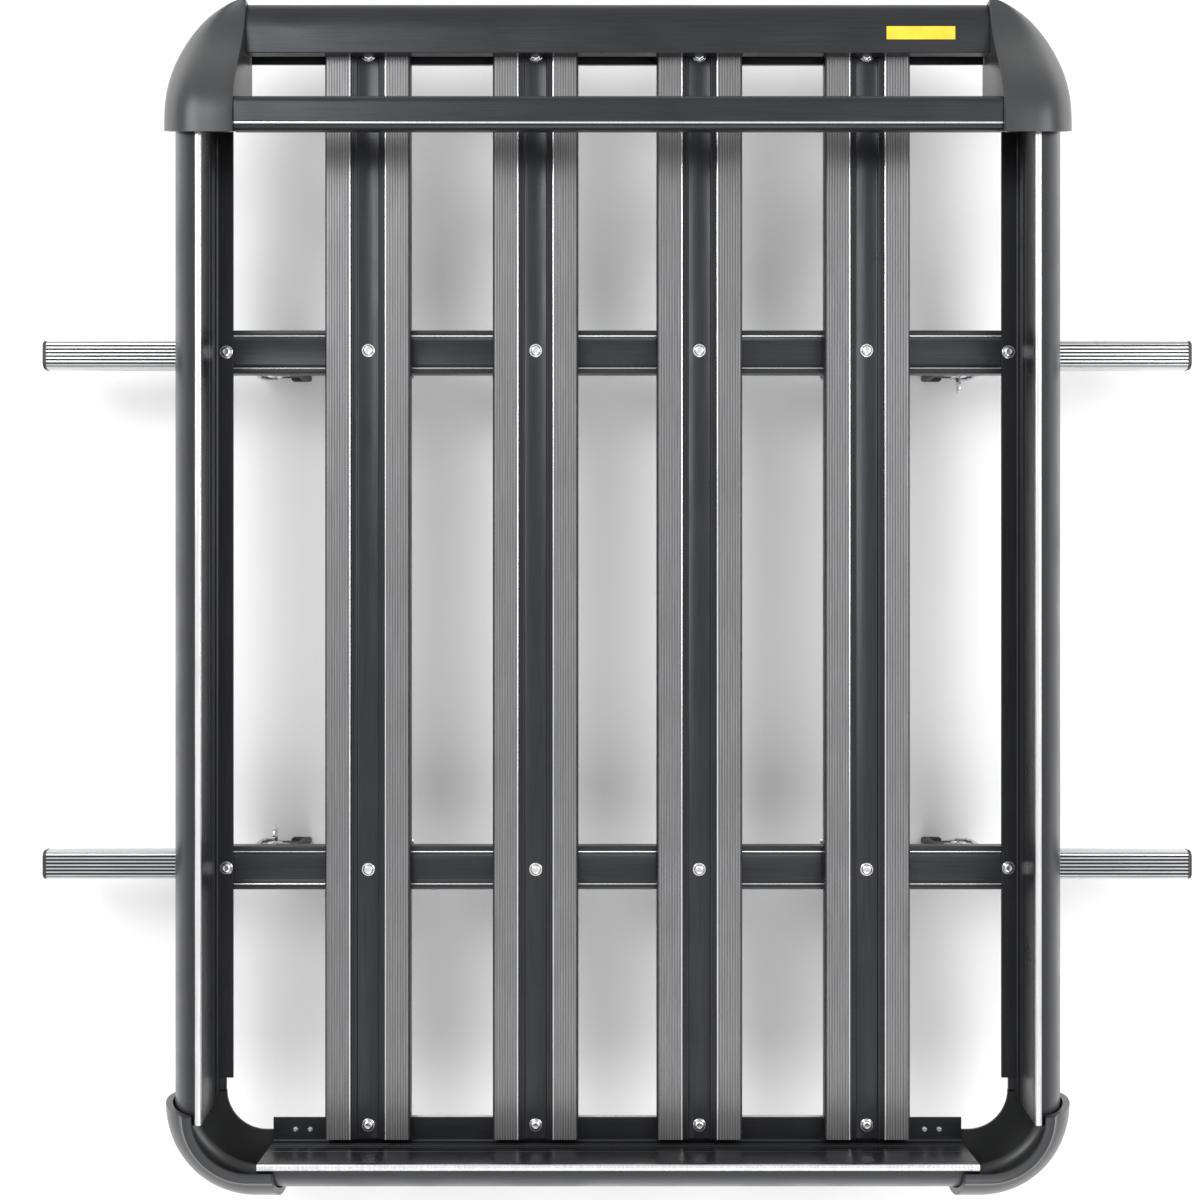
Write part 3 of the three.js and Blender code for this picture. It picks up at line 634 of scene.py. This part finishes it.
def crossbar_section(y, top, bottom):
    """Ribbed flat top, rounded sides and a slot along the underside."""
    grooves = []
    count, half_top, depth = 6, 11.4, 1.1
    pitch = 2 * half_top / count
    for i in range(count):
        x = -half_top + pitch * i
        grooves += [(x + pitch * 0.22, top), (x + pitch * 0.38, top - depth), (x + pitch * 0.62, top - depth),
                    (x + pitch * 0.78, top)]
    right = arc(10.5, top - 7.5, 5.5, 7.5, 80, 0, 9) + arc(8, bottom + 9, 8, 9, 0, -90, 9)
    slot = [(4.2, bottom), (4.2, bottom + 2.7), (8, bottom + 2.7), (8, bottom + 8.3)]
    side = right + slot
    return [(a + y, b) for a, b in grooves + side + mirrored(side)]


def build_crossbars():
    for end in ("front", "rear"):
        node = f"{end}_crossbar"
        low, high = corners(node)
        y = (low[1] + high[1]) / 2
        hollow = [(y + a, high[2] + b) for a, b in ((-12, -12), (12, -12), (12, -3), (-12, -3))]
        # Faces down in the top grooves take the painted shade material.
        groove_shade_faces = lambda a, b, top=high[2]: 1 if top - 1.2 < min(a[1], b[1]) < top - 0.5 else 0
        piece = Piece("bar", "slot")
        piece.add(*extrusion(crossbar_section(y, high[2], low[2]), low[0], high[0], "X", hollow, groove_shade_faces))
        piece.finish(f"{node}_extrusion", [node])
        for side, word in ((-1, "left"), (1, "right")):
            build_cap(f"{end}_{word}_bar_cap", side, y)


def build_cap(node, side, y):
    low, high = corners(node)
    middle = (low[2] + high[2]) / 2
    outline = arc(10, high[2] - 8, 6, 8, 90, 0, 10) + arc(8, low[2] + 9, 8, 9, 0, -90, 10)
    outline += mirrored(outline)
    base = high[0] - 4 if side > 0 else low[0] + 4
    rings = []
    for out, scale in ((0, 1), (2.6, 1), (3.5, 0.97), (4, 0.9)):
        rings.append([(base + side * out, y + a * scale, middle + (b - middle) * scale) for a, b in outline])
    piece = Piece("plastic")
    piece.add(*loft(rings))
    plug = [(y - 11.6, high[2] - 11.6), (y + 11.6, high[2] - 11.6), (y + 11.6, high[2] - 3.4), (y - 11.6,
        high[2] - 3.4)]
    start, end = sorted((base + side * 0.2, base - side * 12))
    piece.add(*extrusion(plug, start, end, "X")[:2])
    piece.finish(f"{node}_moulding", [node])


def build_u_bolt(node):
    low, high = corners(node)
    x, y = (low[0] + high[0]) / 2, (low[1] + high[1]) / 2
    leg, bend, top, radius = 18.8, 4.0, high[2] - 2.5, 2.5
    half = [(-leg, low[2]), (-leg, low[2] + 6)] + arc(-leg + bend, top - bend, bend, bend, 180, 90, 6)
    path = half + mirrored(half)
    rings = []
    for i, (py, pz) in enumerate(path):
        before, after = path[max(0, i - 1)], path[min(len(path) - 1, i + 1)]
        length = math.hypot(after[0] - before[0], after[1] - before[1])
        ty, tz = (after[0] - before[0]) / length, (after[1] - before[1]) / length
        rings.append([(x + radius * math.cos(a), y + py + radius * math.sin(a) * -tz, pz
            + radius * math.sin(a) * ty)
                      for a in (2 * math.pi * n / 16 for n in range(16))])
    piece = Piece("zinc")
    piece.add(*loft(rings))
    nut = [(0.01, 0), (4.1, 0), (4.6, 0.5), (4.6, 3.7), (4.1, 4.2), (0.01, 4.2)]
    for side in (-1, 1):
        piece.add(*turned(nut, (x, y + side * leg, low[2] + 4.6), sides=6))
    piece.finish(f"{node}_steel", [node])


def build_lock(node, x, y, z, face):
    """Barrel with a dished flange and a keyway in its face."""
    profile = [(0.01, 6.2), (6, 6.2), (6, 18.3), (8.2, 18.3), (8.5, 18.7), (8.5, 19.7), (7.9, 20.4), (6.6,
        20.6),
               (6.1, 20.1), (1.6, 20.1), (1.5, 9), (0.01, 9)]
    points = [(r, face * h) for r, h in profile]

    def keyway(row, angle, radius):
        if row not in (9, 10):
            return radius
        return min(4.4 / max(1e-6, abs(math.sin(angle))), 1.3 / max(1e-6, abs(math.cos(angle))))

    piece = Piece("steel")
    piece.add(*turned(points, (x, y, z), "Y", 48, keyway))
    return piece.finish(f"{node}_chromed", [node], node.replace("_barrel", ""))


def build_key(place, x, y, z, face):
    """Flat key: notched blade and a rounded bow with an eye."""
    bow_y, bow = 29, 9.5
    blade = [(8.5, -2.6), (10.5, -4), (12, -3.0), (13.5, -4), (15, -2.8), (16.5, -4), (20.2, -4)]
    outline = blade + [(bow_y - bow * math.cos(a), -bow * math.sin(a) * 0.98)
                       for a in (math.radians(28 + (332 - 28) * i / 30) for i in range(31))]
    outline += [(20.2, 4), (8.5, 4)]
    eye = [(bow_y + 4 + 2.2 * math.cos(a), 2.2 * math.sin(a)) for a in (2 * math.pi * i / 16
        for i in range(16))]
    put = lambda line: [(y + face * a, z + b) for a, b in line]
    piece = Piece("steel")
    piece.add(*extrusion(put(outline), x - 1, x + 1, "X", put(eye))[:2])
    piece.finish(f"{place}_key_blank", [f"{place}_key"], f"{place}_key_body", bevel=0.25)


def build_foot_details(place, x, y, face):
    """Escutcheon plate on the lock face, fixed to the foot."""
    body = f"{place}_mounting_foot"
    z = corners(f"{place}_lock_barrel")
    z = (z[0][2] + z[1][2]) / 2
    front = y + face * 18
    plate = [(x - 15, z - 5), (x - 11, z - 8.8), (x + 11, z - 8.8), (x + 15, z - 5), (x + 15, z + 5), (x
        + 11, z + 8.8),
             (x - 11, z + 8.8), (x - 15, z + 5)]
    hole = [(x + 6.4 * math.cos(a), z + 6.4 * math.sin(a)) for a in (2 * math.pi * i / 32 for i in range(32))]
    piece = Piece("zinc")
    start, end = sorted((front + face * 0.02, front + face * 0.28))
    piece.add(*extrusion(plate, start, end, "Y", hole)[:2])
    piece.finish(f"{place}_escutcheon", [], body)


def build_feet():
    for end, face in (("front", -1), ("rear", 1)):
        for side, word in ((-1, "left"), (1, "right")):
            place = f"{end}_{word}"
            low, high = corners(f"{place}_foot_pad")
            x, y = (low[0] + high[0]) / 2, (low[1] + high[1]) / 2
            lock_low, lock_high = corners(f"{place}_lock_barrel")
            z = (lock_low[2] + lock_high[2]) / 2
            build_lock(f"{place}_lock_barrel", x, y, z, face)
            build_u_bolt(f"{place}_u_bolt")
            build_foot_details(place, x, y, face)
            build_pad(place, low, high)
            build_tower(place, side, x, y)
            build_jaw(place, side, x, y)
            build_clamp_screw(place, side, x, y)
            build_clamp_plate(f"{place}_clamp_plate")
            if f"{place}_key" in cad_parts:
                build_key(place, x, y, z, face)


def build_pad(place, low, high):
    """Rubber pad with grooves across its underside, between flat lands."""
    count = 7
    pitch = (high[0] - low[0]) / count
    under = [(low[0], low[2])]
    for i in range(count):
        if i != count // 2:
            x = low[0] + pitch * i
            under += [(x + pitch * 0.35, low[2]), (x + pitch * 0.42, low[2] + 1.2), (x + pitch * 0.58,
                low[2] + 1.2),
                      (x + pitch * 0.65, low[2])]
    section = under + [(high[0], low[2]), (high[0], high[2]), (low[0], high[2])]
    piece = Piece("rubber")
    piece.add(*extrusion(section, low[1], high[1], "Y")[:2])
    piece.finish(f"{place}_foot_pad_rubber", [f"{place}_foot_pad"], f"{place}_mounting_foot")


def build_tower(place, side, x, y):
    """Moulded foot: block with a fixed jaw, side ribs and the T-shaped key for the crossbar's slot."""
    body = f"{place}_mounting_foot"
    outline = [(-20, 71.4), (20, 71.4), (20, 39.3), (-20, 39.3), (-20, 8), (-8, 8), (-8, 0), (-30, 0),
        (-30, 52)]
    web = [(-18.5, 70), (18.5, 70), (18.5, 41), (-21.5, 41), (-21.5, 6.5), (-9.5, 6.5), (-9.5, 1.5),
        (-28.5, 1.5),
           (-28.5, 51.4)]
    put = lambda line: [(x + side * a, b) for a, b in line]
    piece = Piece("plastic")
    piece.add(*extrusion(put(web), y - 18, y + 18, "Y")[:2])
    for low, high in ((y - 17, y - 11), (y - 4, y + 4), (y + 11, y + 17)):
        piece.add(*extrusion(put(outline), low, high, "Y")[:2])
    neck = [(y - 3.8, 69), (y + 3.8, 69), (y + 3.8, 75), (y + 7.4, 75), (y + 7.4, 79.2), (y - 7.4, 79.2),
        (y - 7.4, 75),
            (y - 3.8, 75)]
    piece.add(*extrusion(neck, x - 14, x + 14, "X")[:2])
    piece.finish(f"{place}_foot_moulding", [f"{place}_foot"], body, bevel=0.8)


def build_jaw(place, side, x, y):
    """Bent steel jaw with a rolled toe."""
    toe = [(20.3, 8)] + arc(10.5, 6, 2.5, 2, 90, 180, 4) + arc(10.5, 4, 2.5, 2, 180, 270, 4)
    outline = [(20.3, 60)] + arc(24.3, 58, 2, 2, 90, 0, 3) + arc(22.3, 6, 4, 4, 0, -90, 5) + toe[::-1]
    put = [(x + side * a, b) for a, b in outline]
    piece = Piece("zinc")
    piece.add(*extrusion(put, y - 16, y + 16, "Y")[:2])
    piece.finish(f"{place}_clamp_jaw_steel", [f"{place}_clamp_jaw"], f"{place}_jaw", bevel=0.7)


def build_clamp_screw(place, side, x, y):
    """Socket-head screw along the crossbar's direction."""
    low, high = corners(f"{place}_clamp_bolt")
    z = (low[2] + high[2]) / 2
    profile = [(0.01, 2), (3.4, 2), (4, 2.6), (4, 26.6), (6.1, 26.6), (6.5, 27), (6.5, 33.6), (5.8, 34.6),
        (3.2, 34.6),
               (3.1, 30), (0.01, 29.6)]

    def socket(row, angle, radius):
        return radius * 0.9 / math.cos((angle % (math.pi / 3)) - math.pi / 6) if row in (8, 9) else radius

    piece = Piece("steel")
    piece.add(*turned([(r, side * h) for r, h in profile], (x, y, z), "X", 36, socket))
    piece.finish(f"{place}_clamp_screw", [f"{place}_clamp_bolt"], f"{place}_screw")


def build_clamp_plate(node):
    low, high = corners(node)
    radius = 4
    outline = []
    for cx, cy, start in ((high[0] - radius, high[1] - radius, 0), (low[0] + radius, high[1] - radius, 90),
                          (low[0] + radius, low[1] + radius, 180), (high[0] - radius, low[1] + radius, 270)):
        outline += arc(cx, cy, radius, radius, start, start + 90, 5)
    middle_x, middle_y = (low[0] + high[0]) / 2, (low[1] + high[1]) / 2
    rings = []
    for z, scale in ((low[2], 0.96), (low[2] + 0.6, 1), (high[2] - 0.6, 1), (high[2], 0.96)):
        rings.append([(middle_x + (a - middle_x) * scale, middle_y + (b - middle_y) * scale, z) for a,
            b in outline])
    piece = Piece("zinc")
    piece.add(*loft(rings))
    piece.finish(f"{node}_steel", [node])


# ---------------------------------------------------------------- stage

FLOOR_REACH = 6.0
WORLD_STRENGTH = 0.85
LIGHTS = (
    ("key_light", (-1.6, 1.4, 2.4), 1.6, 45),
    ("fill_light", (1.9, 0.6, 2.2), 1.6, 35),
    ("rear_light", (0.2, -2.2, 2.0), 1.8, 25),
)
LIGHT_TARGET = (0, 0, 0.12)
CAMERA_X, CAMERA_Y = -0.0188, -0.0043
CAMERA_HEIGHT = 1.8
VIEW_WIDTH_AT_DECK = 1.2864
SENSOR_WIDTH = 36


def build_stage():
    mesh = bpy.data.meshes.new("studio_floor")
    reach = FLOOR_REACH
    mesh.from_pydata([(-reach, -reach, 0), (reach, -reach, 0), (reach, reach, 0), (-reach, reach, 0)], [],
        [(0, 1, 2, 3)])
    paint = Nodes("floor_paint", (0.93, 0.93, 0.93), 0.0, 0.9)
    paint.vary_colour(paint.noise(3), 0.995, 1.005)
    mesh.materials.append(paint.material)
    floor = bpy.data.objects.new("studio_floor", mesh)
    bpy.context.scene.collection.objects.link(floor)

    world = bpy.data.worlds.new("studio")
    world.use_nodes = True
    bpy.context.scene.view_settings.view_transform = "Standard"
    bpy.context.scene.world = world
    background = world.node_tree.nodes["Background"]
    background.inputs["Color"].default_value = (1, 1, 1, 1)
    background.inputs["Strength"].default_value = WORLD_STRENGTH
    for name, place, size, power in LIGHTS:
        light = bpy.data.lights.new(name, "AREA")
        light.size = size
        light.energy = power
        lamp = bpy.data.objects.new(name, light)
        lamp.location = place
        lamp.rotation_euler = (Vector(LIGHT_TARGET) - Vector(place)).to_track_quat("-Z", "Y").to_euler()
        bpy.context.scene.collection.objects.link(lamp)

    camera = bpy.data.cameras.new("camera")
    camera.sensor_width = SENSOR_WIDTH
    camera.lens = SENSOR_WIDTH * CAMERA_HEIGHT / VIEW_WIDTH_AT_DECK
    rig = bpy.data.objects.new("camera", camera)
    rig.location = (CAMERA_X, CAMERA_Y, DECK_Z * MM + CAMERA_HEIGHT)
    bpy.context.scene.collection.objects.link(rig)
    bpy.context.scene.camera = rig


build_slats()
build_channels()
build_bolts()
build_rails()
build_rail_screws()
build_front()
build_shells()
build_elbows()
build_crossbars()
build_feet()
build_stage()
